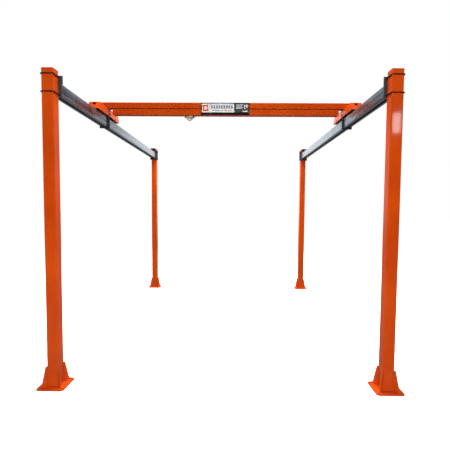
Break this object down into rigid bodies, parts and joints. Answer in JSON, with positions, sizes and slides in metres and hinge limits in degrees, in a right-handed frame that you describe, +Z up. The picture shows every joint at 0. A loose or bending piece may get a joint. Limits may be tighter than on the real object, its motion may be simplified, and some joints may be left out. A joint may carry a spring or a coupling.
{
  "type": "overhead workstation bridge crane",
  "caption": "Free-standing overhead bridge crane: posts on bolt-down plates carry runway rails, on which a rolling bridge beam carries a small load trolley.",
  "frame": {"origin": "centre of the floor rectangle under the four posts, at floor level", "axes": "+Z up; +Y along the runways from the front pair of posts to the rear pair; +X along the bridge beam, to the right seen from the front"},
  "size_m": [3.1624, 4.3054, 2.84],
  "materials": {
    "orange_paint": "gloss powder coat",
    "galvanised_steel": "galvanised",
    "zinc_plated_steel": "bright zinc",
    "dark_bracket_steel": "satin",
    "black_steel": "black oxide",
    "sign_panel": "satin printed sheet",
    "wheel_polymer": "turned nylon",
    "wheel_steel": "turned steel",
    "beige_paint": "satin"
  },
  "bodies": {
    "frame": {"column_front_left": "orange_paint", "column_front_right": "orange_paint", "column_rear_left": "orange_paint", "column_rear_right": "orange_paint", "column_caps": "orange_paint", "base_plate_front_left": "orange_paint", "base_plate_front_right": "orange_paint", "base_plate_rear_left": "orange_paint", "base_plate_rear_right": "orange_paint", "gussets_front_left": "orange_paint", "gussets_front_right": "orange_paint", "gussets_rear_left": "orange_paint", "gussets_rear_right": "orange_paint", "bracket_front_left": "dark_bracket_steel", "bracket_front_right": "dark_bracket_steel", "bracket_rear_left": "dark_bracket_steel", "bracket_rear_right": "dark_bracket_steel", "u_bolts_front_left": "black_steel", "u_bolts_front_right": "black_steel", "u_bolts_rear_left": "black_steel", "u_bolts_rear_right": "black_steel", "u_bolt_washers": "black_steel", "u_bolt_nuts": "black_steel", "runway_left": "galvanised_steel", "runway_right": "galvanised_steel", "seat_bolts": "black_steel", "seat_nut_plates": "zinc_plated_steel", "end_stops": "black_steel", "end_stop_bolts": "black_steel"},
    "bridge": {"bridge_beam": "orange_paint", "bridge_track": "orange_paint", "beam_end_caps": "orange_paint", "trolley_stops": "black_steel", "end_truck_left": "orange_paint", "end_truck_right": "orange_paint", "truck_axles": "zinc_plated_steel", "wheel_spacers": "zinc_plated_steel", "retainer_left": "black_steel", "retainer_right": "black_steel", "retainer_bolts": "black_steel", "retainer_nuts": "black_steel", "bridge_angles_left": "orange_paint", "bridge_angles_right": "orange_paint", "angle_bolts": "zinc_plated_steel", "angle_nuts": "zinc_plated_steel", "sign_plate": "sign_panel", "sign_rivets": "zinc_plated_steel"},
    "trolley": {"trolley_hanger": "beige_paint", "trolley_axles": "zinc_plated_steel", "load_plate_front": "beige_paint", "load_plate_rear": "beige_paint", "trolley_bolts": "black_steel"},
    "truck_wheel_left_front": {"truck_wheel_left_front": "wheel_polymer"},
    "truck_wheel_left_rear": {"truck_wheel_left_rear": "wheel_polymer"},
    "truck_wheel_right_front": {"truck_wheel_right_front": "wheel_polymer"},
    "truck_wheel_right_rear": {"truck_wheel_right_rear": "wheel_polymer"},
    "trolley_wheel_left_front": {"trolley_wheel_left_front": "wheel_steel"},
    "trolley_wheel_left_rear": {"trolley_wheel_left_rear": "wheel_steel"},
    "trolley_wheel_right_front": {"trolley_wheel_right_front": "wheel_steel"},
    "trolley_wheel_right_rear": {"trolley_wheel_right_rear": "wheel_steel"}
  },
  "joints": [
    {"name": "bridge_travel", "type": "slide", "parent": "frame", "child": "bridge", "axis": [0, 1, 0], "range_m": [-0.788, 2.252]},
    {"name": "trolley_travel", "type": "slide", "parent": "bridge", "child": "trolley", "axis": [1, 0, 0], "range_m": [-0.803, 1.663]},
    {"name": "truck_wheel_left_front_spin", "type": "hinge", "parent": "bridge", "child": "truck_wheel_left_front", "pos_m": [-1.4605, -0.962, 2.704], "axis": [1, 0, 0], "continuous": true},
    {"name": "truck_wheel_left_rear_spin", "type": "hinge", "parent": "bridge", "child": "truck_wheel_left_rear", "pos_m": [-1.4605, -0.502, 2.704], "axis": [1, 0, 0], "continuous": true},
    {"name": "truck_wheel_right_front_spin", "type": "hinge", "parent": "bridge", "child": "truck_wheel_right_front", "pos_m": [1.4605, -0.962, 2.704], "axis": [1, 0, 0], "continuous": true},
    {"name": "truck_wheel_right_rear_spin", "type": "hinge", "parent": "bridge", "child": "truck_wheel_right_rear", "pos_m": [1.4605, -0.502, 2.704], "axis": [1, 0, 0], "continuous": true},
    {"name": "trolley_wheel_left_front_spin", "type": "hinge", "parent": "trolley", "child": "trolley_wheel_left_front", "pos_m": [-0.475, -0.756, 2.716], "axis": [0, 1, 0], "continuous": true},
    {"name": "trolley_wheel_left_rear_spin", "type": "hinge", "parent": "trolley", "child": "trolley_wheel_left_rear", "pos_m": [-0.475, -0.708, 2.716], "axis": [0, 1, 0], "continuous": true},
    {"name": "trolley_wheel_right_front_spin", "type": "hinge", "parent": "trolley", "child": "trolley_wheel_right_front", "pos_m": [-0.385, -0.756, 2.716], "axis": [0, 1, 0], "continuous": true},
    {"name": "trolley_wheel_right_rear_spin", "type": "hinge", "parent": "trolley", "child": "trolley_wheel_right_rear", "pos_m": [-0.385, -0.708, 2.716], "axis": [0, 1, 0], "continuous": true}
  ],
  "couplings": [
    {"joint": "truck_wheel_left_front_spin", "follows": "bridge_travel", "rad_per_m": -25.189},
    {"joint": "truck_wheel_left_rear_spin", "follows": "bridge_travel", "rad_per_m": -25.189},
    {"joint": "truck_wheel_right_front_spin", "follows": "bridge_travel", "rad_per_m": -25.189},
    {"joint": "truck_wheel_right_rear_spin", "follows": "bridge_travel", "rad_per_m": -25.189},
    {"joint": "trolley_wheel_left_front_spin", "follows": "trolley_travel", "rad_per_m": 50.761},
    {"joint": "trolley_wheel_left_rear_spin", "follows": "trolley_travel", "rad_per_m": 50.761},
    {"joint": "trolley_wheel_right_front_spin", "follows": "trolley_travel", "rad_per_m": 50.761},
    {"joint": "trolley_wheel_right_rear_spin", "follows": "trolley_travel", "rad_per_m": 50.761}
  ]
}
